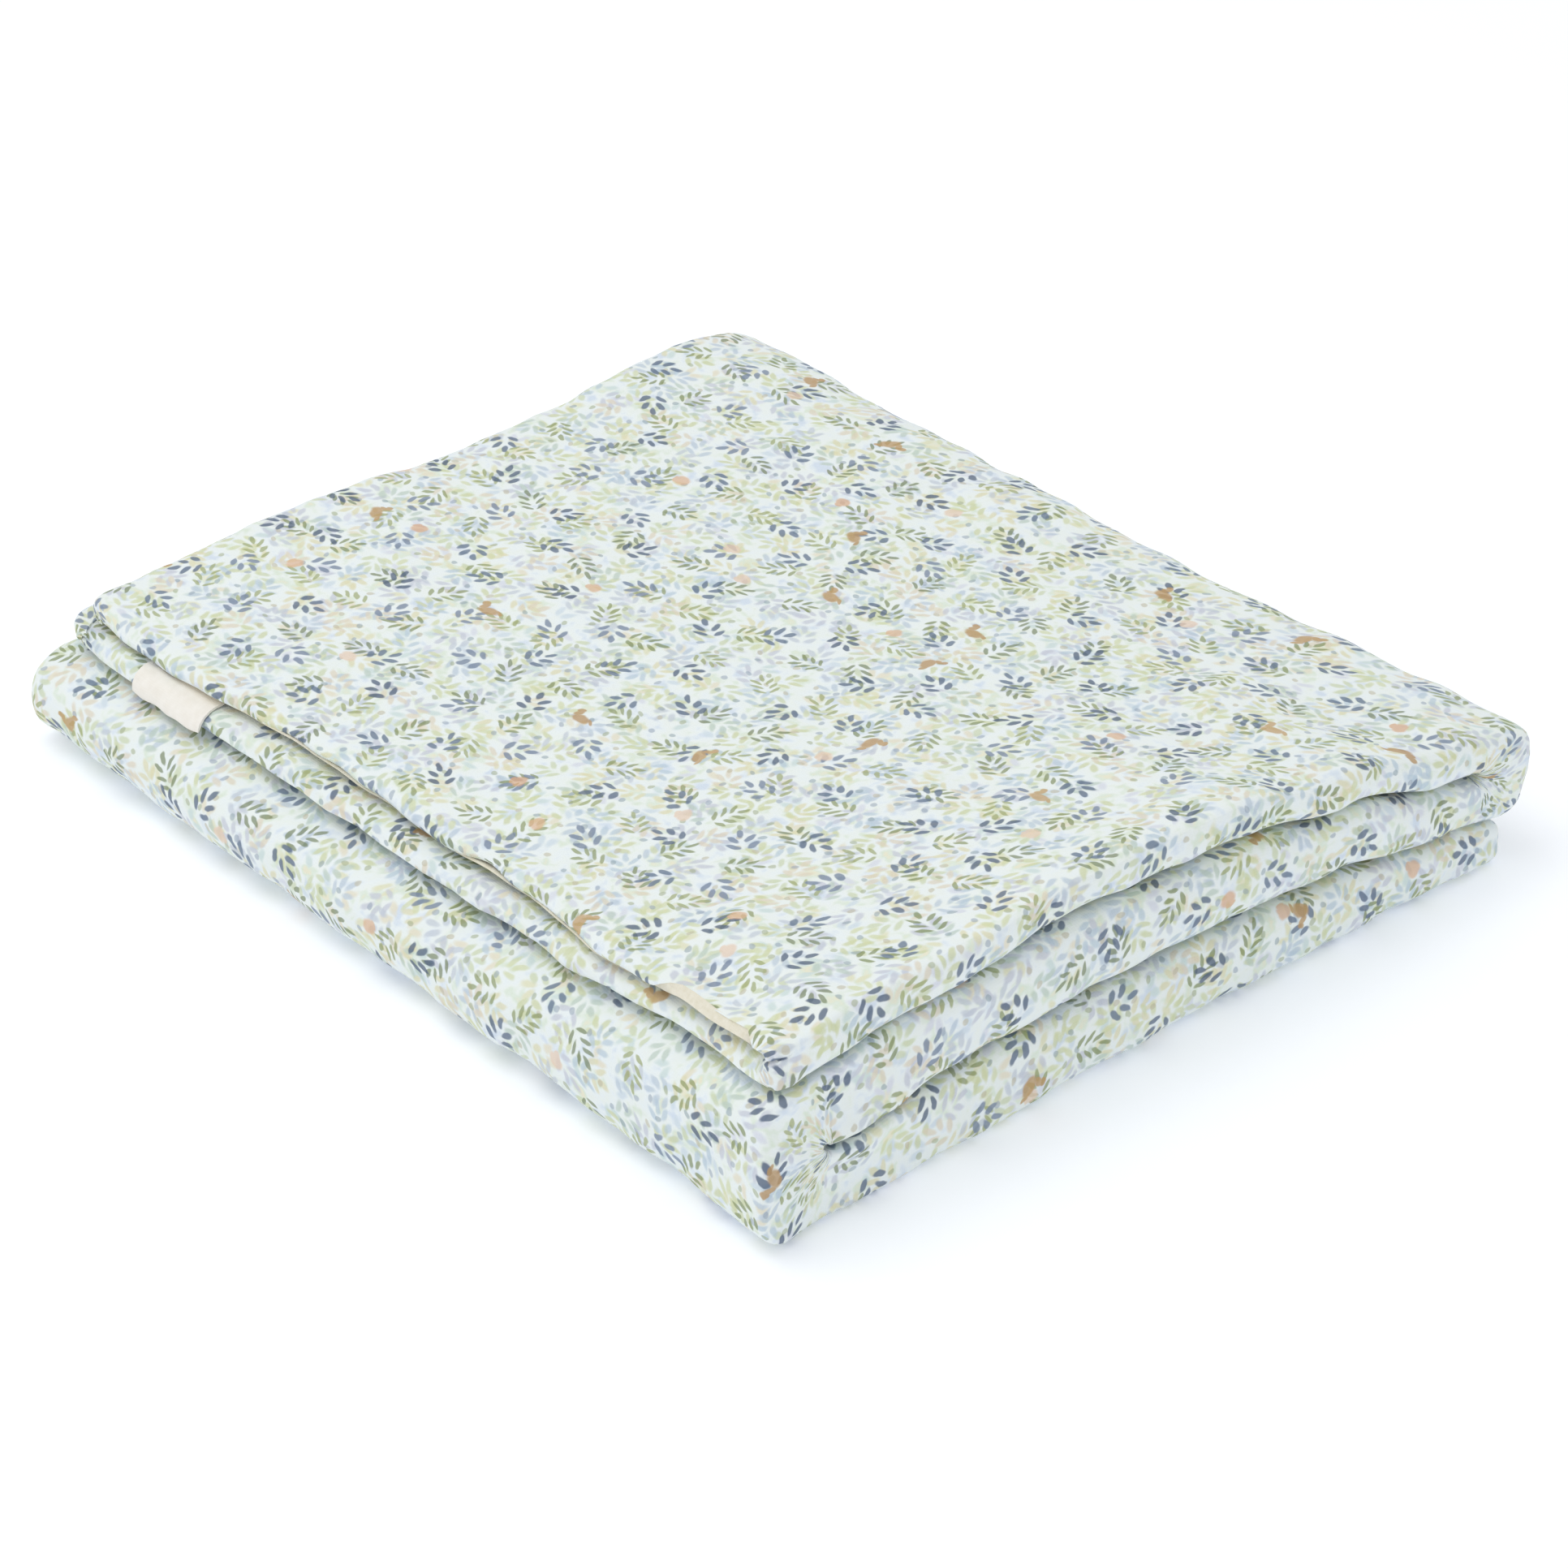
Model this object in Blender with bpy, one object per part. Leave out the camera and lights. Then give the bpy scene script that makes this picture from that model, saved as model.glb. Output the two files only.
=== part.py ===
"""A padded crib blanket, folded in half across its width and then in three along its length."""

import bpy
import numpy as np

# The blanket laid flat: its full width and the thickness of one padded layer
WIDTH = 1.13
LAYER = 0.0112
LINING = 0.0015
SEAM_GAP = 0.0003

# The half fold, at +X: the linings of its two layers lie this far from the middle of the fold
HALF_GAP = 0.0006
HALF_FOLD_FULLNESS = 1.45

# The three runs of doubled cloth, one on the other, and the two turns that join them
RUN = 0.414
RUN_GAP = 0.0016
TURN_FULLNESS = 1.5
DOUBLED = 2 * (LAYER + HALF_GAP)
TURN_RADIUS = (DOUBLED + RUN_GAP) / 2
STACK = 3 * DOUBLED + 2 * RUN_GAP

# How far each free end of the cloth goes past the middle of the turn over or under it
BOTTOM_END = 0.026
TOP_END = 0.007

# The hem: its roundness, and the distances from the edge at which it is drawn
HEM_DEPTH = 0.012
HEM_STEPS = np.array([0.0, 0.002, 0.0055, HEM_DEPTH])
HEM_EDGE_SHARE = 0.36
CORNER_RADIUS = 0.022
CORNER_REACH = 0.03

# Steps of the grid in a run, in a turn, across one layer and round the half fold
RUN_STEPS = 8
TURN_STEPS = 8
LAYER_STEPS = 7
FOLD_STEPS = 8

# How far in the free side edges lie: share of the path, upper layer, lower layer
SIDE_EDGES = np.array(
    [
        [0.00, 0.004, 0.000],
        [0.33, 0.006, 0.004],
        [0.50, 0.004, 0.006],
        [0.67, 0.006, 0.008],
        [0.85, 0.010, 0.007],
        [1.00, 0.013, 0.008],
    ]
)

# How far back the end of the top run lies: share of the width from the fold, upper layer, lower layer
TOP_EDGES = np.array(
    [
        [0.00, -0.021, -0.021],
        [0.15, -0.013, -0.016],
        [0.40, 0.003, -0.009],
        [0.66, 0.007, -0.007],
        [0.78, 0.001, -0.009],
        [0.90, -0.002, -0.010],
        [1.00, 0.001, -0.009],
    ]
)
TOP_EDGE_FROM = 0.72

# How much the stack is thicker along the half fold: place along Y, extra share of the height
FOLD_RISE = np.array(
    [
        [-0.265, 0.55],
        [-0.135, 0.68],
        [-0.045, 0.78],
        [0.035, 0.72],
        [0.115, 0.48],
        [0.185, 0.15],
        [0.250, -0.06],
    ]
)
FOLD_RISE_FROM = -0.045
FOLD_RISE_REACH = 0.33
FOLD_RISE_LIMIT = 1.2
TOP_RUN_EASE = 0.35

# Fullness elsewhere: place (x, y), spread (x, y), extra share of the height
PUFFS = np.array(
    [
        [-0.29, 0.175, 0.14, 0.07, 0.12],
        [-0.29, -0.09, 0.12, 0.07, 0.06],
        [-0.10, 0.00, 0.50, 0.50, 0.03],
    ]
)

# The label: a tape sewn into the top run's hem, and how it leaves it: out from the upper layer's
# edge, height over the middle of the run
LABEL_FROM = -0.197
LABEL_LENGTH = 0.057
LABEL_THICKNESS = 0.0012
LABEL_STEPS = 6
LABEL_PROFILE = np.array(
    [
        [-0.0032, 0.0006],
        [0.0040, 0.0006],
        [0.0100, 0.0004],
        [0.0145, -0.0001],
        [0.0175, -0.0016],
        [0.0192, -0.0040],
        [0.0200, -0.0070],
    ]
)


def path():
    """The zigzag's rows: y and z of the middle of the fold, and how these change for each
    metre towards the layer that ends on top."""
    low, mid, high = DOUBLED / 2 + (DOUBLED + RUN_GAP) * np.arange(3)
    half = RUN / 2
    bend = np.linspace(0, np.pi, TURN_STEPS + 1)
    first = np.concatenate(
        [
            half + BOTTOM_END - HEM_STEPS,
            np.linspace(half + BOTTOM_END - HEM_DEPTH, -half, RUN_STEPS + 1)[1:-1],
        ]
    )
    second = np.linspace(-half, half, RUN_STEPS + 1)[1:-1]
    third = np.concatenate(
        [
            np.linspace(half, -half - TOP_END + HEM_DEPTH, RUN_STEPS + 1)[1:-1],
            -half - TOP_END + HEM_STEPS[::-1],
        ]
    )
    y = [first, -half - TURN_FULLNESS * TURN_RADIUS * np.sin(bend), second]
    y += [half + TURN_FULLNESS * TURN_RADIUS * np.sin(bend), third]
    z = [np.full_like(first, low), (low + mid) / 2 - TURN_RADIUS * np.cos(bend)]
    z += [np.full_like(second, mid), (mid + high) / 2 - TURN_RADIUS * np.cos(bend)]
    z += [np.full_like(third, high)]
    lean_y = [0 * first, TURN_FULLNESS * np.sin(bend), 0 * second]
    lean_y += [TURN_FULLNESS * np.sin(bend), 0 * third]
    lean_z = [0 * first + 1, np.cos(bend), 0 * second - 1, -np.cos(bend), 0 * third + 1]
    return [np.concatenate(part) for part in (y, z, lean_y, lean_z)]


def section():
    """The half fold's columns: distance in from the fold, turn from the upper layer (-1) to
    the lower (1), and distance from the nearer side edge."""
    turn = np.linspace(-np.pi / 2, np.pi / 2, FOLD_STEPS + 1)
    straight = WIDTH / 2 - np.pi / 4 * (LAYER + HALF_GAP)
    inwards = np.concatenate(
        [
            straight - HEM_STEPS,
            np.linspace(straight - HEM_DEPTH, 0, LAYER_STEPS + 1)[1:-1],
        ]
    )
    flat = np.full_like(inwards, np.pi / 2)
    from_edge = straight - inwards
    return (
        np.concatenate([inwards, 0 * turn, inwards[::-1]]),
        np.concatenate([-flat, turn, flat]),
        np.concatenate([from_edge, 0 * turn + straight, from_edge[::-1]]),
    )


def hem_share(distance):
    """The share of a layer's thickness that is left so near its edge: a quarter round."""
    inner = np.clip(1 - distance / HEM_DEPTH, 0, 1)
    return HEM_EDGE_SHARE + (1 - HEM_EDGE_SHARE) * np.sqrt(1 - inner**2)


def read(table, at, column=1):
    """A table's column at the places given, eased between its rows by half a cosine wave."""
    row = np.interp(at, table[:, 0], np.arange(len(table)))
    before = np.minimum(row.astype(int), len(table) - 2)
    ease = (1 - np.cos(np.pi * (row - before))) / 2
    return table[before, column] * (1 - ease) + table[before + 1, column] * ease


def settle(points):
    """The stack as it lies: each height grows towards the half fold, and by the PUFFS."""
    x, y, z = points[..., 0], points[..., 1], points[..., 2]
    towards = np.clip((x - FOLD_RISE_FROM) / FOLD_RISE_REACH, 0, FOLD_RISE_LIMIT) ** 2
    on_top = np.clip((z - STACK * 2 / 3) / (STACK / 3), 0, 1)
    swell = 1 + towards * read(FOLD_RISE, y) * (1 - TOP_RUN_EASE * on_top)
    for place_x, place_y, spread_x, spread_y, share in PUFFS:
        away = ((x - place_x) / spread_x) ** 2 + ((y - place_y) / spread_y) ** 2
        swell += share * np.exp(-away)
    return np.stack([x, y, z * swell], axis=-1)


def surface(from_lining, from_face):
    """The grid of one surface of a layer, which lies from_lining above the lining's own
    surface or, where that is None, from_face below the printed one."""
    y, z, lean_y, lean_z = (part[:, None] for part in path())
    inwards, turn, from_side = (part[None, :] for part in section())
    step = np.hypot(np.diff(y[:, 0]), np.diff(z[:, 0]))
    along = np.concatenate([[0], np.cumsum(step)])[:, None]
    from_end = np.minimum(along, along[-1] - along)
    share = np.minimum(hem_share(from_end), hem_share(from_side))
    hem = LAYER / 2 * (1 - share)
    depth = LAYER - hem - from_face if from_lining is None else hem + from_lining
    out = HALF_GAP + depth
    up = -np.sin(turn) * out
    across = HALF_FOLD_FULLNESS * np.cos(turn) * out - inwards
    reach = inwards / inwards.max()
    part = along / along[-1]
    side = np.where(turn < 0, 1, 2)
    rounding = np.clip(1 - from_end / CORNER_RADIUS, 0, 1)
    pull = CORNER_RADIUS * (1 - np.sqrt(1 - rounding**2)) * np.exp(-from_side / CORNER_REACH)
    x = across + reach * read(SIDE_EDGES, part, side) + pull
    on_top = np.clip((part - TOP_EDGE_FROM) / (1 - TOP_EDGE_FROM), 0, 1)
    slide = on_top * read(TOP_EDGES, reach, side)
    shape = [x + WIDTH / 4, y + lean_y * up + slide, z + lean_z * up]
    return settle(np.stack(np.broadcast_arrays(*shape), axis=-1))


def label(side):
    """One face of the label, half its thickness above (1) or below (-1) its own middle."""
    out, height = LABEL_PROFILE.T
    fall = np.stack([np.gradient(out), np.gradient(height)])
    fall /= np.hypot(*fall)
    out = (out - side * LABEL_THICKNESS / 2 * fall[1])[:, None]
    height = (height + side * LABEL_THICKNESS / 2 * fall[0])[:, None]
    x = LABEL_FROM + LABEL_LENGTH * np.linspace(0, 1, LABEL_STEPS + 1)[None, :]
    reach = (WIDTH / 4 - x) / section()[0].max()
    y = -RUN / 2 - TOP_END + read(TOP_EDGES, reach, 1) - out
    z = STACK - DOUBLED / 2 + height
    return settle(np.stack(np.broadcast_arrays(x, y, z), axis=-1))


def close(outer, inner):
    """Points and triangles of the solid between two grids."""
    rows, columns = outer.shape[:2]
    index = np.arange(rows * columns).reshape(rows, columns)
    a, b, c, d = index[:-1, :-1], index[1:, :-1], index[1:, 1:], index[:-1, 1:]
    skin = np.concatenate(
        [np.stack(t, axis=-1).reshape(-1, 3) for t in ((a, b, c), (a, c, d))]
    )
    other = skin[:, ::-1] + rows * columns
    rim = np.concatenate([index[:, 0], index[-1, 1:], index[-2::-1, -1], index[0, -2:0:-1]])
    after = np.roll(rim, -1)
    under = rows * columns
    band = np.concatenate(
        [
            np.stack([after, rim, rim + under], axis=-1),
            np.stack([after, rim + under, after + under], axis=-1),
        ]
    )
    points = np.concatenate([outer.reshape(-1, 3), inner.reshape(-1, 3)])
    return points, np.concatenate([skin, other, band])


def finish(name, hex_colour, roughness):
    """A plain cloth of one colour, given in sRGB."""
    material = bpy.data.materials.new(name)
    material.use_nodes = True
    shader = material.node_tree.nodes["Principled BSDF"]
    srgb = np.array([int(hex_colour[i : i + 2], 16) for i in (0, 2, 4)]) / 255
    linear = np.where(srgb > 0.04045, ((srgb + 0.055) / 1.055) ** 2.4, srgb / 12.92)
    shader.inputs["Base Color"].default_value = (*linear, 1)
    shader.inputs["Roughness"].default_value = roughness
    shader.inputs["Metallic"].default_value = 0
    return material


def add_solid(name, points, triangles, material):
    """One named object, its triangles turned to face outwards."""
    corners = points[triangles]
    if np.linalg.det(corners).sum() < 0:
        triangles = triangles[:, ::-1]
    mesh = bpy.data.meshes.new(name)
    mesh.from_pydata(points.tolist(), [], triangles.tolist())
    mesh.materials.append(material)
    mesh.shade_smooth()
    solid = bpy.data.objects.new(name, mesh)
    bpy.context.scene.collection.objects.link(solid)
    return solid


for old in list(bpy.data.objects):
    bpy.data.objects.remove(old)

face_outside = surface(None, 0)
corners = face_outside.reshape(-1, 3)
middle = (corners.min(axis=0) + corners.max(axis=0)) / 2 * np.array([1, 1, 0])

add_solid(
    "blanket_face",
    *close(face_outside - middle, surface(LINING + SEAM_GAP, None) - middle),
    finish("printed cotton", "E4ECEC", 0.9),
)
add_solid(
    "blanket_lining",
    *close(surface(LINING, None) - middle, surface(0, None) - middle),
    finish("cream cotton", "E8DEC6", 0.9),
)
add_solid(
    "label",
    *close(label(1) - middle, label(-1) - middle),
    finish("cream tape", "F3EBDD", 0.8),
)
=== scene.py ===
"""The looks of a folded crib blanket: its printed face, cream lining and sewn-in label."""

import bpy
import numpy as np
from mathutils import Matrix, Vector


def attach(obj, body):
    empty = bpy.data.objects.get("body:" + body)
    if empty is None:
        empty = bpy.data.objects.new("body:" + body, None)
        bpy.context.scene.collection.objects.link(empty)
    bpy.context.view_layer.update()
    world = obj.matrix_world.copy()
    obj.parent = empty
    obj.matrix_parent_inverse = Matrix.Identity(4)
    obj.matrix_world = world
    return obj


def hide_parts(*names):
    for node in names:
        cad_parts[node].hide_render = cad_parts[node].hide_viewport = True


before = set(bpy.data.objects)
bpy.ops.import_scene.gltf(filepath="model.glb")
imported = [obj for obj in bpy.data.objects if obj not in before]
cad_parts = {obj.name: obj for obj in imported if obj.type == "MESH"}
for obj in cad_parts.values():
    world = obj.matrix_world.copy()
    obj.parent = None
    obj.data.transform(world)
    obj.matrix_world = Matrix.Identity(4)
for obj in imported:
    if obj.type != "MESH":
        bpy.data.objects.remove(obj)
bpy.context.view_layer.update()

# The printed face
# One panel of plain-woven cotton, printed all over, over a thin padding. It is sewn to the
# lining right side to right side, and turned, so the print rolls round the hem. It is folded
# in half across its width, with the fold at +X, and then back and forth in three.
WIDTH = 1.13
LAYER = 0.0112
HALF_GAP = 0.0006
HALF_FOLD_FULLNESS = 1.45
RUN = 0.414
RUN_GAP = 0.0016
TURN_FULLNESS = 1.5
DOUBLED = 2 * (LAYER + HALF_GAP)
TURN_RADIUS = (DOUBLED + RUN_GAP) / 2
STACK = 3 * DOUBLED + 2 * RUN_GAP
BOTTOM_END = 0.026
TOP_END = 0.007
MIDDLE_X = 0.013287
PANEL_THICKNESS = 0.0012

# Round the hem: half an ellipse from the face's side (0) to the lining's side (pi), and on
# from there along the lining's side for a stretch
HEM_DEPTH = 0.0095
LINING_SIDE = 0.006
CORNER_RADIUS = 0.022
CORNER_REACH = 0.03

# How far in the free side edges lie: share of the path, upper layer, lower layer
SIDE_EDGES = np.array(
    [
        [0.00, 0.004, 0.000],
        [0.33, 0.006, 0.004],
        [0.50, 0.004, 0.006],
        [0.67, 0.006, 0.008],
        [0.85, 0.010, 0.007],
        [1.00, 0.013, 0.008],
    ]
)

# How far back the end of the top run lies: share of the width from the half fold, upper layer,
# lower layer
TOP_EDGES = np.array(
    [
        [0.00, -0.021, -0.021],
        [0.15, -0.013, -0.016],
        [0.40, 0.003, -0.009],
        [0.66, 0.007, -0.007],
        [0.78, 0.001, -0.009],
        [0.90, -0.002, -0.010],
        [1.00, 0.001, -0.009],
    ]
)
TOP_EDGE_FROM = 0.72

# Where the print ends round the top run's hem, in degrees: share of the width, upper layer,
# lower layer
TOP_SEAM = np.array(
    [
        [0.00, 90, 300],
        [0.015, 40, 300],
        [0.115, 38, 300],
        [0.150, 112, 300],
        [0.60, 128, 310],
        [0.72, 108, 320],
        [0.78, 100, 320],
        [0.90, 140, 320],
        [1.00, 125, 300],
    ]
)
# The same round the side hems: share of the path, upper layer, lower layer
SIDE_SEAM = np.array(
    [
        [0.00, 130, 150],
        [0.20, 100, 170],
        [0.45, 150, 110],
        [0.70, 120, 180],
        [0.88, 105, 200],
        [1.00, 120, 220],
    ]
)
BOTTOM_SEAM = 140

# How much the stack is thicker along the half fold: place along Y, extra share of the height
FOLD_RISE = np.array(
    [
        [-0.265, 0.55],
        [-0.135, 0.68],
        [-0.045, 0.78],
        [0.035, 0.72],
        [0.115, 0.48],
        [0.185, 0.15],
        [0.250, -0.06],
    ]
)
FOLD_RISE_FROM = -0.045
FOLD_RISE_REACH = 0.33
FOLD_RISE_LIMIT = 1.2
TOP_RUN_EASE = 0.35

# Fullness elsewhere: place (x, y), spread (x, y), extra share of the height
PUFFS = np.array(
    [
        [-0.29, 0.175, 0.14, 0.07, 0.12],
        [-0.29, -0.09, 0.12, 0.07, 0.06],
        [-0.10, 0.00, 0.50, 0.50, 0.03],
    ]
)

# Where the folded edges are pushed out or in: place (x, y, z), spread (x, y, z), push (x, y)
PUSHES = np.array(
    [
        [0.305, -0.247, 0.030, 0.030, 0.030, 0.060, 0.0040, -0.0045],
        [0.300, -0.236, 0.080, 0.032, 0.026, 0.006, 0.0035, -0.0050],
        [0.300, -0.190, 0.040, 0.030, 0.022, 0.010, 0.0065, 0.0000],
        [0.290, 0.235, 0.060, 0.050, 0.040, 0.030, 0.0025, 0.0030],
    ]
)

# How square the turns' bulges are, from 1 for a round one down: share of the width from the
# half fold, exponent of the turn at -Y, exponent of the turn at +Y
TURN_SQUARENESS = np.array(
    [
        [0.00, 0.42, 0.28],
        [0.12, 0.52, 0.45],
        [0.35, 0.75, 0.80],
        [1.00, 0.85, 0.80],
    ]
)
# The same for the half fold: place along Y, exponent
HALF_FOLD_SQUARENESS = np.array(
    [
        [-0.27, 0.22],
        [-0.19, 0.26],
        [-0.12, 0.50],
        [-0.03, 0.60],
        [0.14, 0.58],
        [0.26, 0.38],
    ]
)

# Slow waves along the edges: wave length, size, and phases along x, y and z
EDGE_WAVES = np.array(
    [
        [0.105, 0.0006, 0.4, 1.9, 70],
        [0.061, 0.0004, 2.6, 0.3, 105],
        [0.037, 0.0004, 1.1, 4.0, 150],
    ]
)

# The padding's own unevenness: wave length, size, direction and phase, over the cloth
SURFACE_WAVES = np.array(
    [
        [0.118, 0.00050, 0.4, 0.3],
        [0.083, 0.00045, 1.9, 2.1],
        [0.064, 0.00035, 2.8, 4.4],
        [0.047, 0.00025, 1.2, 5.2],
        [0.033, 0.00018, 0.8, 1.0],
        [0.027, 0.00016, 2.3, 3.3],
        [0.021, 0.00012, 1.6, 0.7],
    ]
)

# Small hollows and ridges: from (x, y, z) to (x, y, z), width, depth (below 0 for a ridge)
CREASES = np.array(
    [
        [-0.085, -0.1900, 0.068, -0.055, -0.1700, 0.068, 0.0170, 0.0030],
        [0.055, -0.2000, 0.070, 0.095, -0.1750, 0.072, 0.0170, 0.0028],
        [0.186, -0.1750, 0.093, 0.262, -0.1950, 0.102, 0.0140, -0.0022],
        [0.150, -0.2000, 0.084, 0.240, -0.2170, 0.098, 0.0070, 0.0014],
    ]
)

# The grid's steps along the path: hem, bottom run, each turn, middle run, top run, hem; and
# across: hem, upper layer, half fold, lower layer, hem
FACE_ROWS = (8, 60, 28, 60, 96, 8)
FACE_COLUMNS = (8, 120, 16, 50, 8)
# How far, in radians, a bend's steps move towards its corners
CORNER_STEPS = 0.19


def read(table, at, column=1):
    """A table's column at the places given, eased between its rows by half a cosine wave."""
    row = np.interp(at, table[:, 0], np.arange(len(table)))
    before = np.minimum(row.astype(int), len(table) - 2)
    ease = (1 - np.cos(np.pi * (row - before))) / 2
    return table[before, column] * (1 - ease) + table[before + 1, column] * ease


def squared(wave, exponent):
    """A sine or cosine raised to a power below 1, with its sign kept: it makes a circle square."""
    return np.sign(wave) * np.abs(wave) ** exponent


def bend_steps(start, stop, steps):
    """Angles from start to stop, moved by a sine wave of four times the angle, so that they lie
    closer together where a squared circle turns fast."""
    angle = np.linspace(start, stop, steps + 1)
    return angle - CORNER_STEPS * np.sin(4 * angle)


def hem(angle, inset):
    """Distance in from the edge and height over the layer's middle, round half an ellipse by
    the cosine and sine of the angle, and then straight on along the lining's side."""
    bend = np.minimum(angle, np.pi)
    past = LINING_SIDE * np.maximum(angle - np.pi, 0)
    return HEM_DEPTH - (HEM_DEPTH - inset) * np.sin(bend) + past, (LAYER / 2 - inset) * np.cos(bend)


def settle(points):
    """The stack as it lies: heights grow towards the half fold by a squared ramp and by the
    bell-shaped PUFFS, edges move by the bell-shaped PUSHES and by slow sine waves."""
    x, y, z = points[..., 0], points[..., 1], points[..., 2]
    towards = np.clip((x - FOLD_RISE_FROM) / FOLD_RISE_REACH, 0, FOLD_RISE_LIMIT) ** 2
    on_top = np.clip((z - STACK * 2 / 3) / (STACK / 3), 0, 1)
    swell = 1 + towards * read(FOLD_RISE, y) * (1 - TOP_RUN_EASE * on_top)
    for place_x, place_y, spread_x, spread_y, share in PUFFS:
        away = ((x - place_x) / spread_x) ** 2 + ((y - place_y) / spread_y) ** 2
        swell += share * np.exp(-away)
    z = z * swell
    move_x, move_y = 0 * x, 0 * y
    for place_x, place_y, place_z, spread_x, spread_y, spread_z, push_x, push_y in PUSHES:
        away = ((x - place_x) / spread_x) ** 2 + ((y - place_y) / spread_y) ** 2
        near = np.exp(-away - ((z - place_z) / spread_z) ** 2)
        move_x += push_x * near
        move_y += push_y * near
    for length, size, phase_x, phase_y, by_height in EDGE_WAVES:
        turns = 2 * np.pi / length
        move_x += size * np.sin(turns * y + phase_y + by_height * z)
        move_y += size * np.sin(turns * x + phase_x - by_height * z)
    return np.stack([x + move_x, y + move_y, z], axis=-1)


def skin(inland, inset, row_steps, column_steps):
    """One skin of a panel, on a grid of rows along the zigzag path and columns across the
    half-folded section. Where the hem begins, at the angle inland round it, the skin lies flat;
    from there the angle goes on evenly to the seam. Each fold is a circle whose sine and cosine
    are raised to the power that the tables of squareness give."""
    hem_rows, first_run, bend, second_run, third_run, last_hem = row_steps
    hem_columns, upper, fold, lower, _ = column_steps
    start = hem(inland, 0)[0]
    half = RUN / 2
    low, mid, high = DOUBLED / 2 + (DOUBLED + RUN_GAP) * np.arange(3)

    angle = bend_steps(0, np.pi, bend)
    first = np.linspace(half + BOTTOM_END - start, -half, first_run + 1)[1:-1]
    second = np.linspace(-half, half, second_run + 1)[1:-1]
    third = np.linspace(half, -half - TOP_END + start, third_run + 1)[1:-1]
    head = np.full(hem_rows + 1, half + BOTTOM_END - start)
    tail = np.full(last_hem + 1, -half - TOP_END + start)
    pieces = [head, first, 0 * angle - half, second, 0 * angle + half, third, tail]
    heights = [low, low, (low + mid) / 2, mid, (mid + high) / 2, high, high]
    sides = [0, 0, -1, 0, 1, 0, 0]
    facing = [1, 1, 1, -1, -1, 1, 1]
    y = np.concatenate(pieces)[:, None]
    z = np.concatenate([0 * piece + height for piece, height in zip(pieces, heights)])[:, None]
    side = np.concatenate([0 * piece + way for piece, way in zip(pieces, sides)])[:, None]
    face_up = np.concatenate([0 * piece + way for piece, way in zip(pieces, facing)])[:, None]
    bends = [angle if way else 0 * piece for piece, way in zip(pieces, sides)]
    angle = np.concatenate(bends)[:, None]
    flat_rows = np.zeros(len(y) - hem_rows - last_hem - 2)
    ramp = np.linspace(0, 1, hem_rows + 1)
    to_seam = np.concatenate([ramp[::-1], flat_rows, np.linspace(0, 1, last_hem + 1)])[:, None]
    outwards = np.concatenate([0 * head + 1, flat_rows, 0 * tail - 1])[:, None]
    round_y = y + side * TURN_FULLNESS * TURN_RADIUS * np.sin(angle)
    round_z = z - np.abs(side) * TURN_RADIUS * np.cos(angle)
    step = np.hypot(np.diff(round_y[:, 0]), np.diff(round_z[:, 0]))
    along = start + np.concatenate([[0], np.cumsum(step)])[:, None]
    total = along[-1] + start

    straight = WIDTH / 2 - np.pi / 4 * (LAYER + HALF_GAP)
    turn = bend_steps(-np.pi / 2, np.pi / 2, fold)
    edge = np.full(hem_columns + 1, straight - start)
    flat_in = np.linspace(straight - start, 0, upper + 1)[1:-1]
    flat_out = np.linspace(0, straight - start, lower + 1)[1:-1]
    inwards = np.concatenate([edge, flat_in, 0 * turn, flat_out, edge])[None, :]
    ramp = np.linspace(0, 1, hem_columns + 1)
    to_side = np.concatenate([ramp[::-1], 0 * flat_in, 0 * turn, 0 * flat_out, ramp])[None, :]
    before = np.full(hem_columns + upper, -np.pi / 2)
    after = np.full(lower + hem_columns, np.pi / 2)
    turn = np.concatenate([before, turn, after])[None, :]
    layer = np.where(turn < 0, 1, 2)

    part = along / total
    end_seam = np.where(outwards > 0, BOTTOM_SEAM, read(TOP_SEAM, inwards / straight, layer))
    side_seam = read(SIDE_SEAM, part, layer)
    from_end, end_height = hem(inland + to_seam * (np.radians(end_seam) - inland), inset)
    from_side, side_height = hem(inland + to_side * (np.radians(side_seam) - inland), inset)
    inwards = inwards + np.where(to_side > 0, start - from_side, 0)
    y = y + outwards * (start - from_end)
    pick = np.minimum if inland < 1 else np.maximum
    out = HALF_GAP + LAYER / 2 + pick(end_height, side_height)

    end_distance = np.where(outwards != 0, from_end, np.minimum(along, total - along))
    side_distance = straight - inwards
    rounding = np.clip(1 - end_distance / CORNER_RADIUS, 0, 1)
    pull = CORNER_RADIUS * (1 - np.sqrt(1 - rounding**2)) * np.exp(-side_distance / CORNER_REACH)
    reach = inwards / straight
    square = read(HALF_FOLD_SQUARENESS, y)
    across = HALF_FOLD_FULLNESS * squared(np.cos(turn), square) * out - inwards
    across = across + reach * read(SIDE_EDGES, part, layer) + pull
    up = -squared(np.sin(turn), square) * out
    on_top = np.clip((part - TOP_EDGE_FROM) / (1 - TOP_EDGE_FROM), 0, 1)
    slide = on_top * read(TOP_EDGES, reach, layer)
    square = read(TURN_SQUARENESS, reach, np.where(side < 0, 1, 2))
    bulge = TURN_FULLNESS * squared(np.sin(angle), square) * np.abs(side)
    height = squared(np.cos(angle), square)
    y = y + bulge * (side * TURN_RADIUS + up) + slide
    z = z - np.abs(side) * height * TURN_RADIUS + face_up * height * up
    shape = [across + WIDTH / 4, y, z]
    placed = settle(np.stack(np.broadcast_arrays(*shape), axis=-1))
    return placed - np.array([MIDDLE_X, 0, 0])


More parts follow.
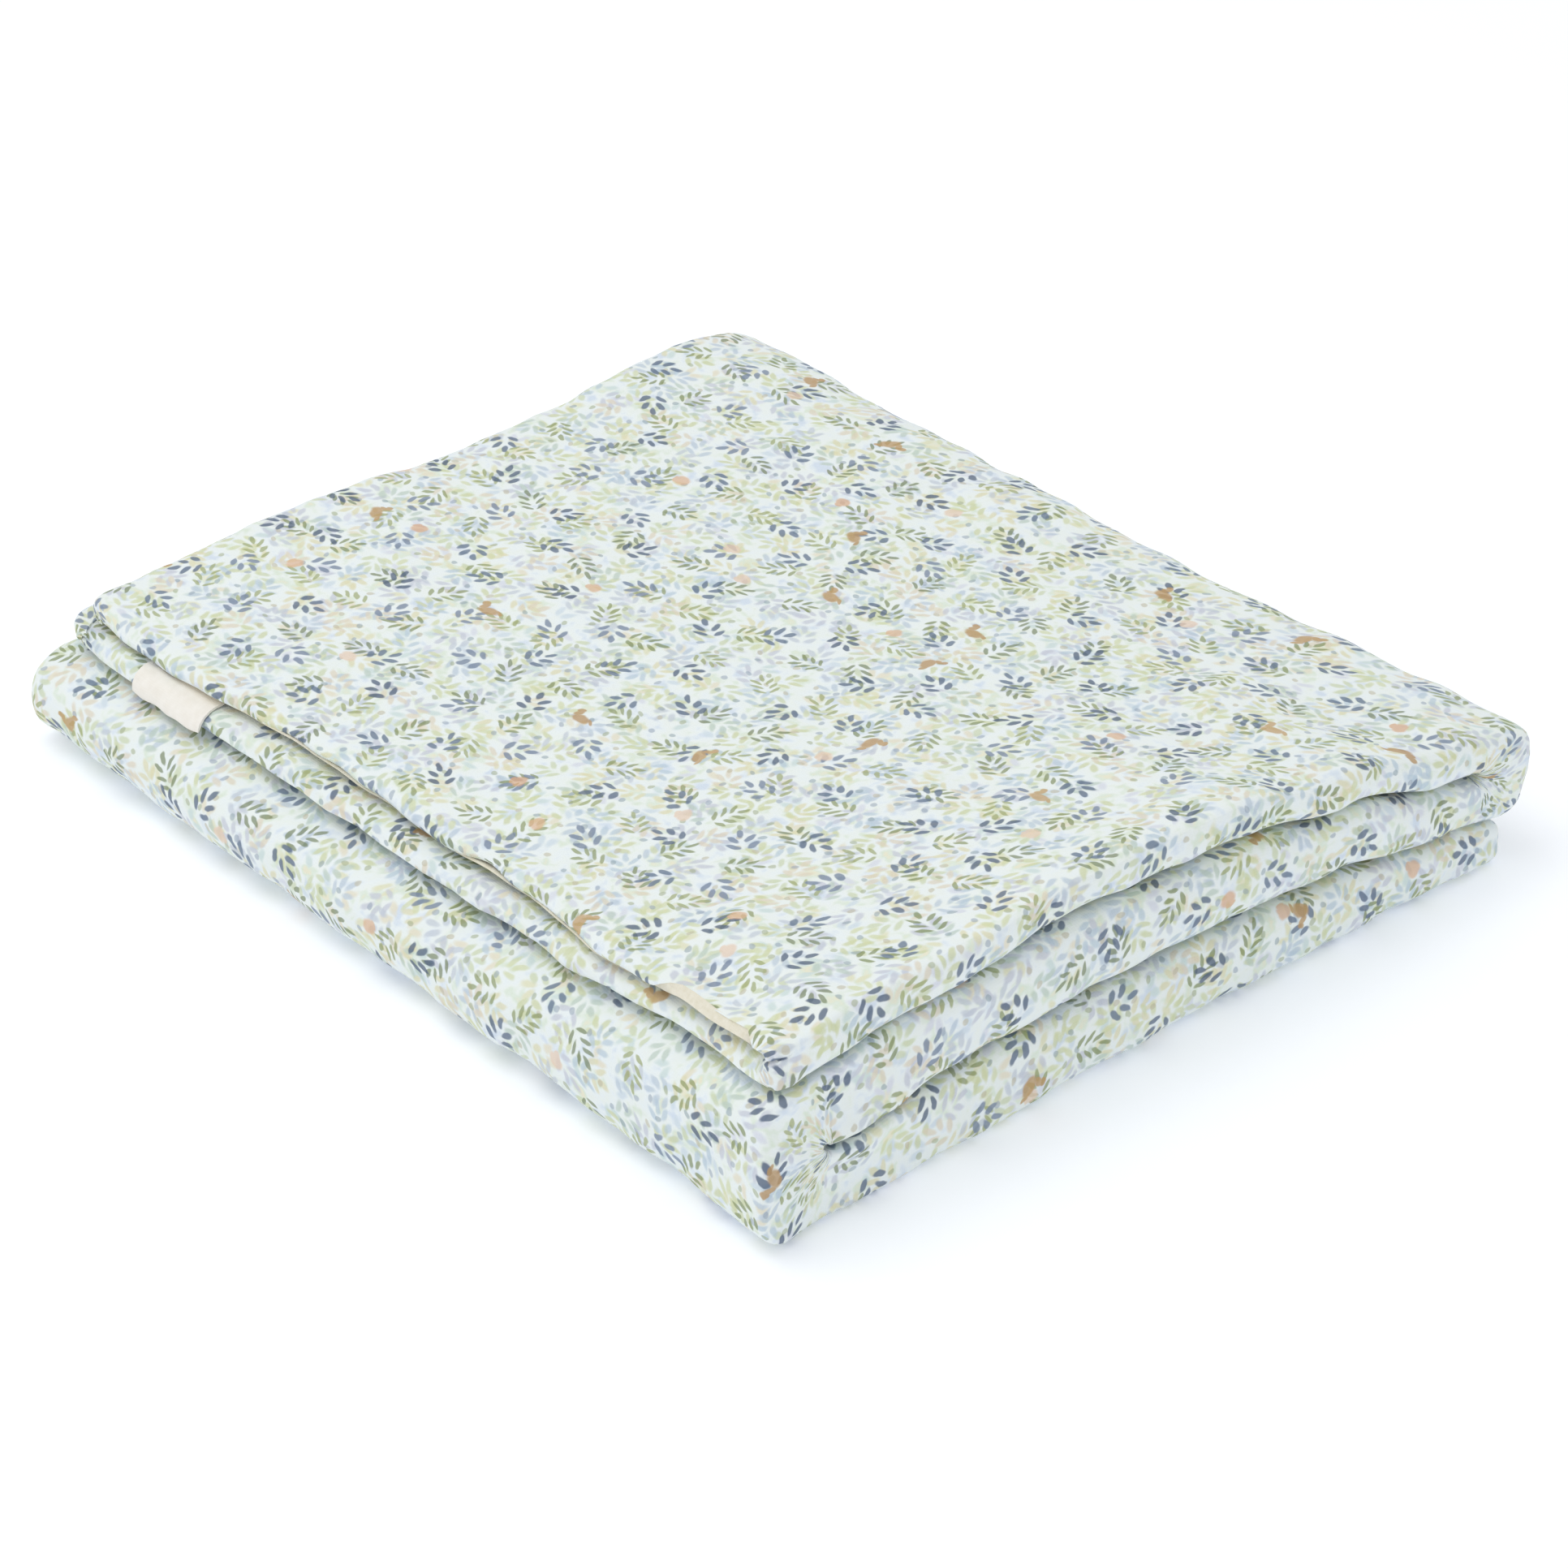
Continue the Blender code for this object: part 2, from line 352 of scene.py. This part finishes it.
def cloth_map(points, row_steps, column_steps):
    """How far each point lies from the half fold across the cloth, and from the first end along
    it, as lengths over the surface. In the runs all columns share the fold's own length along;
    in a turn the layer on its outside keeps its own, and the inner one shares the edge's. A hem
    keeps its own length round it, and follows the cloth next to it along it."""
    first_hem, side_hem = row_steps[0], column_steps[0]
    width = np.linalg.norm(np.diff(points, axis=1), axis=2)
    width[:first_hem], width[-first_hem:] = width[first_hem], width[-first_hem - 1]
    across = np.concatenate([0 * width[:, :1], np.cumsum(width, axis=1)], axis=1)
    edges = column_steps[0] + column_steps[1], column_steps[0] + column_steps[1] + column_steps[2]
    spine = sum(edges) // 2
    across = across - across[:, spine : spine + 1]
    step = np.linalg.norm(np.diff(points, axis=0), axis=2)
    step[:, :side_hem], step[:, -side_hem:] = step[:, side_hem, None], step[:, -side_hem - 1, None]
    ends = np.cumsum(row_steps)
    mapped = np.broadcast_to(step[:, spine : spine + 1], step.shape).copy()
    turns = (ends[1], ends[2], edges[1]), (ends[3], ends[3] + row_steps[2], edges[0])
    for first, last, edge in turns:
        outside = slice(edge, None) if edge > spine else slice(0, edge + 1)
        mapped[first:last] = step[first:last, edge : edge + 1]
        mapped[first:last, outside] = step[first:last, outside]
    mapped[:first_hem], mapped[-first_hem:] = step[:first_hem], step[-first_hem:]
    along = np.concatenate([0 * mapped[:1], np.cumsum(mapped, axis=0)], axis=0)
    along = along - along[ends[0]] + along[ends[0], spine]
    return np.stack([across, along], axis=-1)


def outward(points):
    """The unit direction across a grid of points: the cross product of its two slopes."""
    normal = np.cross(np.gradient(points, axis=0), np.gradient(points, axis=1))
    return normal / np.linalg.norm(normal, axis=2, keepdims=True)


def fullness(place):
    """How far the padding pushes the cloth out at each place on it: a sum of plane sine waves."""
    height = 0 * place[..., 0]
    for length, size, direction, phase in SURFACE_WAVES:
        along = place[..., 0] * np.cos(direction) + place[..., 1] * np.sin(direction)
        bent = along + 0.25 * length * np.sin(place[..., 0] * 21 + place[..., 1] * 13 + phase)
        height += size * np.sin(2 * np.pi * bent / length + phase)
    return height


def creased(points):
    """How far the small creases take each point in: a bell curve across each short line."""
    depth = 0 * points[..., 0]
    for crease in CREASES:
        start, run = crease[:3], crease[3:6] - crease[:3]
        share = np.clip((points - start) @ run / (run @ run), 0, 1)
        away = np.linalg.norm(points - start - share[..., None] * run, axis=-1)
        depth += crease[7] * np.exp(-((away / crease[6]) ** 2))
    return depth


# The angle in degrees from which an edge is drawn sharp
SHARP_FROM = 55


def cloth(name, outer, inner, place):
    """A closed cloth: the outer skin at every point of its grid, the inner one at every other,
    and a rim that joins them with three triangles to each step of the inner one."""
    inner = inner[::2, ::2]
    index = np.arange(outer[..., 0].size).reshape(outer.shape[:2])
    under = index.size + np.arange(inner[..., 0].size).reshape(inner.shape[:2])
    quads, rims = [], []
    for grid in (index, under):
        corners = [grid[:-1, :-1], grid[1:, :-1], grid[1:, 1:], grid[:-1, 1:]]
        quads.append(np.stack(corners, axis=-1).reshape(-1, 4))
        rims.append(np.concatenate([grid[:, 0], grid[-1, 1:], grid[-2::-1, -1], grid[0, -2:0:-1]]))
    a, b, c = rims[0][::2], rims[0][1::2], np.roll(rims[0], -2)[::2]
    d, e = rims[1], np.roll(rims[1], -1)
    rim = np.concatenate([np.stack(three, axis=-1) for three in ((b, a, d), (b, d, e), (c, b, e))])
    points = np.concatenate([outer.reshape(-1, 3), inner.reshape(-1, 3)])
    places = np.concatenate([place.reshape(-1, 2), place[::2, ::2].reshape(-1, 2)])
    faces = [quads[0], quads[1][:, ::-1], rim]
    fans = [face[:, [0, i, i + 1]] for face in faces for i in range(1, face.shape[1] - 1)]
    if sum(np.linalg.det(points[fan]).sum() for fan in fans) < 0:
        faces = [f[:, ::-1] for f in faces]
    mesh = bpy.data.meshes.new(name)
    mesh.from_pydata(points.tolist(), [], [f for group in faces for f in group.tolist()])
    corner = np.zeros(len(mesh.loops), dtype=np.int32)
    mesh.loops.foreach_get("vertex_index", corner)
    at_corners = places[corner].astype(np.float32).ravel()
    mesh.uv_layers.new(name="cloth").data.foreach_set("uv", at_corners)
    mesh.shade_smooth()
    mesh.set_sharp_from_angle(angle=np.radians(SHARP_FROM))
    piece = bpy.data.objects.new(name, mesh)
    bpy.context.scene.collection.objects.link(piece)
    return piece


def linear(hex_colour):
    """An sRGB hex colour as the linear colour that the shaders take."""
    srgb = np.array([int(hex_colour[i : i + 2], 16) for i in (0, 2, 4)]) / 255
    return (*np.where(srgb > 0.04045, ((srgb + 0.055) / 1.055) ** 2.4, srgb / 12.92), 1)


def add(tree, kind, *inputs, named=(), **settings):
    """Adds a node with its settings. Each input is a value, a socket to link, or None."""
    made = tree.nodes.new("ShaderNode" + kind)
    for key, value in settings.items():
        setattr(made, key, value)
    for key, value in [*enumerate(inputs), *dict(named).items()]:
        if isinstance(value, bpy.types.NodeSocket):
            tree.links.new(value, made.inputs[key])
        elif value is not None:
            made.inputs[key].default_value = value
    return made


def new_cloth(name, roughness, sheen):
    """A new matt material, with its node tree and its shader."""
    material = bpy.data.materials.new(name)
    material.use_nodes = True
    shader = material.node_tree.nodes["Principled BSDF"]
    shader.inputs["Roughness"].default_value = roughness
    shader.inputs["Sheen Weight"].default_value = sheen
    return material, material.node_tree, shader


def on_cloth(tree):
    """The place on the cloth, in millimetres."""
    place = add(tree, "TexCoord").outputs["UV"]
    return add(tree, "VectorMath", place, (1000, 1000, 0), operation="MULTIPLY").outputs[0]


def woven(tree, millimetres):
    """The height of threads that cross: the product of two sets of waves, 1.5 mm long."""
    bands = {"Scale": 0.21, "Distortion": 0.6}
    warp = add(tree, "TexWave", millimetres, named=bands, bands_direction="X").outputs["Fac"]
    weft = add(tree, "TexWave", millimetres, named=bands, bands_direction="Y").outputs["Fac"]
    return add(tree, "Math", warp, weft, operation="MULTIPLY").outputs[0]


def scattered(tree, place, cell, turn, seed, radius, share):
    """A motif's own coordinates in millimetres: one motif in each square cell of a turned
    lattice, at a random spot and angle in it. Also a random number for its colour, and 1 where
    the cell has a motif."""
    lattice = add(
        tree, "Mapping", place, (seed, -seed, 0), (0, 0, turn), (1 / cell, 1 / cell, 0)
    ).outputs[0]
    cell_name = add(tree, "VectorMath", lattice, operation="FLOOR").outputs[0]
    inside = add(tree, "VectorMath", lattice, operation="FRACTION").outputs[0]
    chance = add(tree, "TexWhiteNoise", cell_name, noise_dimensions="2D")
    room = 1 - 2 * radius / cell
    dice = chance.outputs["Color"]
    spot = add(
        tree, "VectorMath", dice, (-room, -room, 0), inside, operation="MULTIPLY_ADD"
    ).outputs[0]
    centre = -cell * (0.5 - room / 2)
    spot = add(tree, "Mapping", spot, (centre, centre, 0), (0, 0, 0), (cell, cell, 0)).outputs[0]
    angle = add(tree, "Math", chance.outputs["Value"], 2 * np.pi, operation="MULTIPLY").outputs[0]
    own = add(tree, "VectorRotate", spot, (0, 0, 0), None, angle, rotation_type="Z_AXIS").outputs[0]
    parts = add(tree, "SeparateColor", dice)
    there = add(tree, "Math", parts.outputs[0], share, operation="LESS_THAN").outputs[0]
    return own, parts.outputs[2], there


def drawn(tree, own, ovals, mirrored):
    """How far a point is from the nearest oval's middle, as a share of the oval: each oval is
    centre x, centre y, half width, half length and lean in degrees, all in millimetres."""
    if mirrored:
        split = add(tree, "SeparateXYZ", own)
        across = add(tree, "Math", split.outputs[0], operation="ABSOLUTE").outputs[0]
        own = add(tree, "CombineXYZ", across, split.outputs[1]).outputs[0]
    nearest = None
    for x, y, wide, long, lean in ovals:
        leaning = 0, 0, -np.radians(lean)
        oval = add(
            tree, "Mapping", own, (x, y, 0), leaning, (wide, long, 1), vector_type="TEXTURE"
        ).outputs[0]
        away = add(tree, "VectorMath", oval, operation="LENGTH").outputs["Value"]
        if nearest is not None:
            away = add(tree, "Math", nearest, away, operation="MINIMUM").outputs[0]
        nearest = away
    return nearest


def printed(tree, colour, motif, ovals, mirrored, strength, soft, palette):
    """Prints a scattered motif over a colour, each in one colour of its palette. The ink fades
    out round each oval's edge by the share soft of its size."""
    own, chance, there = motif
    away = drawn(tree, own, ovals, mirrored)
    ink = add(
        tree, "MapRange", away, 1 + soft, 1 - soft, 0, strength, interpolation_type="SMOOTHSTEP"
    ).outputs[0]
    ink = add(tree, "Math", ink, there, operation="MULTIPLY").outputs[0]
    pots = add(tree, "ValToRGB", chance)
    pots.color_ramp.interpolation = "CONSTANT"
    while len(pots.color_ramp.elements) < len(palette):
        pots.color_ramp.elements.new(1)
    for i, hex_colour in enumerate(palette):
        pots.color_ramp.elements[i].position = i / len(palette)
        pots.color_ramp.elements[i].color = linear(hex_colour)
    mixed = {0: ink, 6: colour, 7: pots.outputs[0]}
    return add(tree, "Mix", data_type="RGBA", named=mixed).outputs[2]


# Combed cotton, plain-woven and printed with water-based inks: matt, with no gloss, and with
# a soft edge to each mark. The thread spacing is 0.4 mm, drawn at 1.5 mm so that it shows.
printed_cotton, tree, shader = new_cloth("printed cotton", 0.92, 0.08)
shader.inputs["Specular IOR Level"].default_value = 0.25
millimetres = on_cloth(tree)

# The hand that drew it: every place is moved a little, by up to 1.3 mm each way
tremble = add(tree, "TexNoise", millimetres, named={"Scale": 0.16, "Detail": 1.0}).outputs["Color"]
hand = add(
    tree, "VectorMath", tremble, (2.6, 2.6, 0), millimetres, operation="MULTIPLY_ADD"
).outputs[0]

# The ground: near white, with pale washes about 15 mm across
washes = add(tree, "TexNoise", hand, named={"Scale": 0.075, "Detail": 2.0, "Roughness": 0.6})
wash = add(tree, "ValToRGB", washes.outputs[0])
wash.color_ramp.elements[0].position = 0.30
wash.color_ramp.elements[0].color = linear("D5E0EC")
wash.color_ramp.elements[1].position = 0.72
wash.color_ramp.elements[1].color = linear("E8E6CF")
for at, hex_colour in ((0.42, "E9F0F1"), (0.55, "EAF0EC"), (0.63, "DDE8DA")):
    wash.color_ramp.elements.new(at).color = linear(hex_colour)
colour = wash.outputs[0]

# The marks: ovals round the motif's middle, each centre x, centre y, half width and half length
# in millimetres, and lean in degrees
PAIR = [[3.0, 0.0, 1.9, 4.0, 28]]
PALE_SPRIG = [[0, 6.0, 1.7, 3.9, 0], [4.2, 2.0, 1.6, 3.9, 42], [4.4, -4.4, 1.6, 3.8, 55]]
BUD = [[0, 0, 1.5, 2.0, 0]]
THIN_SPRIG = [
    [0, 8.4, 1.3, 3.6, 0],
    [3.7, 4.4, 1.2, 3.7, 38],
    [4.3, -0.8, 1.2, 3.9, 48],
    [4.0, -6.2, 1.2, 3.6, 56],
]
LEAF_SPRIG = [[0, 7.6, 1.7, 3.7, 0], [4.2, 2.4, 1.7, 3.9, 36], [4.8, -4.2, 1.7, 3.8, 50]]
FRUIT = [[0, 0, 4.6, 3.8, 0], [0, -3.5, 2.8, 1.7, 0]]
BIRD = [
    [0, 0, 5.8, 3.5, 8],
    [4.6, 3.3, 1.8, 3.0, -20],
    [5.7, 5.8, 2.4, 1.9, 0],
    [-6.1, 1.5, 2.8, 1.2, -30],
]

# The lattices, from the palest to the darkest: cell in millimetres, turn, seed, the motif's reach
# in millimetres, share of the cells that have it
LATTICES = (
    (17.5, 0.90, 3.3, 4.5, 0.85),
    (22.0, 0.35, 7.7, 8.6, 0.95),
    (24.0, 1.25, 1.9, 8.6, 0.90),
    (11.5, 0.60, 5.1, 2.6, 0.60),
    (36.0, 0.15, 4.6, 13.0, 0.90),
    (40.0, 0.75, 9.4, 12.5, 0.92),
    (72.0, 1.05, 2.3, 7.0, 0.40),
    (82.0, 0.50, 6.2, 10.0, 0.45),
)
# What each prints: motif, whether it is mirrored, strength and softness of the ink, colours
PRINTS = (
    (PAIR, True, 0.90, 0.50, ("D9DDE6", "E0E0C2", "CFDEDC", "E4DFCB", "D2DEE6")),
    (PALE_SPRIG, True, 0.75, 0.38, ("CDD3A6", "DDD9B4", "BDCBD8", "C6CAD6", "CCD5B2")),
    (PALE_SPRIG, True, 0.72, 0.38, ("B9CBD8", "D2D8AC", "BCCCC0", "DDD3BE", "C3CBD6")),
    (BUD, False, 0.62, 0.22, ("94A6AE", "A6B08C", "9AA8B8", "C2BCA4")),
    (THIN_SPRIG, True, 0.78, 0.22, ("919C66", "83905B", "A2AB74", "7A8760")),
    (LEAF_SPRIG, True, 0.86, 0.22, ("5F7089", "687A92", "7D8CA3", "55667F")),
    (FRUIT, False, 0.75, 0.22, ("DDB592", "D9AC84", "E6CDB6")),
    (BIRD, False, 0.85, 0.22, ("BE9C6A", "C4A474", "B99666")),
)
for lattice, inks in zip(LATTICES, PRINTS):
    colour = printed(tree, colour, scattered(tree, hand, *lattice), *inks)
tree.links.new(colour, shader.inputs["Base Color"])

# Threads that cross, and the small unevenness of washed cotton over padding
washed = add(tree, "TexNoise", millimetres, named={"Scale": 0.11, "Detail": 3.0}).outputs[0]
threads = woven(tree, millimetres)
relief = add(tree, "Math", washed, 9.0, threads, operation="MULTIPLY_ADD").outputs[0]
bump = add(tree, "Bump", named={"Strength": 0.5, "Distance": 0.00012, "Height": relief})
tree.links.new(bump.outputs[0], shader.inputs["Normal"])

# How far in the layers press the cloth, and how thin it gets where it lies on the floor
PRESSED_IN = 0.0004
LEAST_THICKNESS = 0.0004

face_outer = skin(0, 0, FACE_ROWS, FACE_COLUMNS)
face_inner = skin(0, PANEL_THICKNESS, FACE_ROWS, FACE_COLUMNS)
face_place = cloth_map(face_outer, FACE_ROWS, FACE_COLUMNS)
face_normal = outward(face_outer)
# Well inside the top run's upper layer, the print has to face up
inside_row, inside_column = -40, 48
if face_normal[inside_row, inside_column, 2] < 0:
    face_normal = -face_normal
push = (fullness(face_place) - PRESSED_IN - creased(face_outer))[..., None] * face_normal
face_outer, face_inner = face_outer + push, face_inner + push
face_outer[..., 2] = np.maximum(face_outer[..., 2], 0)
face_inner[..., 2] = np.maximum(face_inner[..., 2], LEAST_THICKNESS)

printed_face = cloth("printed_face", face_outer, face_inner, face_place)
printed_face.data.materials.append(printed_cotton)
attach(printed_face, "root")
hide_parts("blanket_face")

# The lining
# A plain cream cotton panel, cut to the same size and sewn to the face all round. It lies inside
# the half fold, and shows only where the hem has rolled back: as a strip under the top run's edge
# and along the free sides.
LINING_ROWS = (6, 34, 20, 34, 48, 6)
LINING_COLUMNS = (6, 60, 10, 40, 6)

# Unprinted cotton of the same weave: matt, a warm off-white with small slubs
cream_cotton, tree, shader = new_cloth("cream cotton", 0.92, 0.08)
shader.inputs["Specular IOR Level"].default_value = 0.25
millimetres = on_cloth(tree)
slubs = add(tree, "TexNoise", millimetres, named={"Scale": 0.3, "Detail": 3.0}).outputs[0]
dye = add(tree, "ValToRGB", slubs)
dye.color_ramp.elements[0].position = 0.3
dye.color_ramp.elements[0].color = linear("DFD9C4")
dye.color_ramp.elements[1].position = 0.7
dye.color_ramp.elements[1].color = linear("E9E4D4")
tree.links.new(dye.outputs[0], shader.inputs["Base Color"])
threads = woven(tree, millimetres)
bump = add(tree, "Bump", named={"Strength": 0.5, "Distance": 0.00015, "Height": threads})
tree.links.new(bump.outputs[0], shader.inputs["Normal"])

lining_outer = skin(2 * np.pi, 0, LINING_ROWS, LINING_COLUMNS)
lining_inner = skin(2 * np.pi, PANEL_THICKNESS, LINING_ROWS, LINING_COLUMNS)
lining_place = cloth_map(lining_outer, LINING_ROWS, LINING_COLUMNS)
cream_lining = cloth("cream_lining", lining_outer, lining_inner, lining_place)
cream_lining.data.materials.append(cream_cotton)
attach(cream_lining, "root")
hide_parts("blanket_lining")

# The label
# A loop of bare cream tape, pressed flat, with its two ends sewn into the top run's hem. It
# hangs over the hem of the layer below, and droops more at its left end.
LABEL_FROM = -0.197
LABEL_LENGTH = 0.057
LABEL_THICKNESS = 0.0012
LABEL_DROOP = 0.0012
LABEL_RIPPLE = 0.0005
LABEL_LEAN = 0.001
# The tape's own length from root to fold, and its course: out from the hem, height
LABEL_DROP = 0.0196
LABEL_PROFILE = np.array(
    [
        [-0.0040, 0.0008],
        [0.0015, 0.0008],
        [0.0050, 0.0000],
        [0.0085, -0.0022],
        [0.0108, -0.0055],
        [0.0118, -0.0096],
    ]
)
LABEL_ROWS = 24
LABEL_COLUMNS = 60


def tape(side):
    """One face of the loop: its profile, straight between the table's points, carried along the
    hem, and shifted by half its thickness across its own slope. The half thickness shrinks by a
    square root towards the fold. The droop is a cosine along the hem, the ripple a sine."""
    step = np.concatenate([[0], np.cumsum(np.hypot(*np.diff(LABEL_PROFILE, axis=0).T))])
    at = np.linspace(0, step[-1], LABEL_ROWS + 1)
    out, height = (np.interp(at, step, column) for column in LABEL_PROFILE.T)
    fall = np.stack([np.gradient(out), np.gradient(height)])
    fall /= np.hypot(*fall)
    to_fold = np.clip((step[-1] - at) / LABEL_THICKNESS, 0.05, 1)
    half = side * LABEL_THICKNESS / 2 * np.sqrt(to_fold)
    share = np.linspace(0, 1, LABEL_COLUMNS + 1)[None, :]
    droop = LABEL_DROOP * np.cos(np.pi * share) * (at[:, None] / step[-1]) ** 2
    ripple = LABEL_RIPPLE * np.sin(17 * share + 2) * (at[:, None] / step[-1])
    out = (out - half * fall[1])[:, None] - 2 * droop
    height = (height + half * fall[0])[:, None] - droop + ripple
    x = LABEL_FROM + LABEL_LENGTH * share + LABEL_LEAN * (at / step[-1])[:, None]
    straight = WIDTH / 2 - np.pi / 4 * (LAYER + HALF_GAP)
    y = -RUN / 2 - TOP_END + read(TOP_EDGES, (WIDTH / 4 - x) / straight, 1) - out
    z = STACK - DOUBLED / 2 + height
    placed = settle(np.stack(np.broadcast_arrays(x, y, z), axis=-1))
    return placed - np.array([MIDDLE_X, 0, 0])


# Smooth, close-woven tape: paler than the lining and a little less matt, with fine ribs
cream_tape, tree, shader = new_cloth("cream woven tape", 0.7, 0.1)
millimetres = on_cloth(tree)
patches = add(tree, "TexNoise", millimetres, named={"Scale": 0.18, "Detail": 2.0}).outputs[0]
dye = add(tree, "ValToRGB", patches)
dye.color_ramp.elements[0].position = 0.3
dye.color_ramp.elements[0].color = linear("EDE8DE")
dye.color_ramp.elements[1].position = 0.7
dye.color_ramp.elements[1].color = linear("F3EFE7")
tree.links.new(dye.outputs[0], shader.inputs["Base Color"])
bands = {"Scale": 0.28, "Distortion": 0.3}
ribs = add(tree, "TexWave", millimetres, named=bands, bands_direction="X").outputs["Fac"]
bump = add(tree, "Bump", named={"Strength": 0.4, "Distance": 0.0001, "Height": ribs})
tree.links.new(bump.outputs[0], shader.inputs["Normal"])

down_tape = np.linspace(0, LABEL_DROP, LABEL_ROWS + 1)
along_tape = np.linspace(0, LABEL_LENGTH, LABEL_COLUMNS + 1)
tape_place = np.stack(np.meshgrid(down_tape, along_tape, indexing="ij"), axis=-1)
label_tape = cloth("label_tape", tape(1), tape(-1), tape_place)
label_tape.data.materials.append(cream_tape)
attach(label_tape, "root")
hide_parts("label")

# The studio
# A plain white floor that also glows a little, with a cool tint, an even pale sky, and one
# large soft lamp high on the left.
FLOOR_REACH = 6
FLOOR_DROP = 0.0005
floor_mesh = bpy.data.meshes.new("floor")
ways = (-1, -1), (1, -1), (1, 1), (-1, 1)
floor_corners = [(FLOOR_REACH * x, FLOOR_REACH * y, -FLOOR_DROP) for x, y in ways]
floor_mesh.from_pydata(floor_corners, [], [(0, 1, 2, 3)])
floor = bpy.data.objects.new("floor", floor_mesh)
bpy.context.scene.collection.objects.link(floor)

# Painted board: matt and white, with no gloss, so that only a soft contact shadow shows on it
white_board = bpy.data.materials.new("white board")
white_board.use_nodes = True
board = white_board.node_tree.nodes["Principled BSDF"]
board.inputs["Base Color"].default_value = linear("F8F8F8")
board.inputs["Roughness"].default_value = 0.9
board.inputs["Emission Color"].default_value = linear("DDE9FF")
board.inputs["Emission Strength"].default_value = 0.20
floor_mesh.materials.append(white_board)

sky = bpy.data.worlds.new("sky")
sky.use_nodes = True
sky.node_tree.nodes["Background"].inputs[0].default_value = linear("FDFEFF")
sky.node_tree.nodes["Background"].inputs[1].default_value = 0.79
bpy.context.scene.world = sky

lamp = bpy.data.lights.new("soft lamp", "AREA")
lamp.energy = 17
lamp.size = 1.6
lamp_holder = bpy.data.objects.new("soft lamp", lamp)
lamp_holder.location = (-0.35, -0.75, 2.5)
lamp_holder.rotation_mode = "QUATERNION"
lamp_holder.rotation_quaternion = lamp_holder.location.to_track_quat("Z", "Y")
bpy.context.scene.collection.objects.link(lamp_holder)

# The camera: 32 degrees above the floor and 49 degrees round from the short free end
FORWARD = Vector((-0.63877896, 0.5592087, -0.52843833))
RIGHTWARD = Vector((0.65869, 0.75241, 0)).normalized()
camera = bpy.data.cameras.new("camera")
camera.sensor_width = 36
camera.lens = 107.39
camera.clip_end = 50
camera_holder = bpy.data.objects.new("camera", camera)
upward = RIGHTWARD.cross(FORWARD)
camera_holder.matrix_world = Matrix.Translation((1.49198, -1.28838, 1.232)) @ Matrix(
    (RIGHTWARD, upward, -FORWARD)
).transposed().to_4x4()
bpy.context.scene.collection.objects.link(camera_holder)
bpy.context.scene.camera = camera_holder
bpy.context.scene.view_settings.view_transform = "Standard"
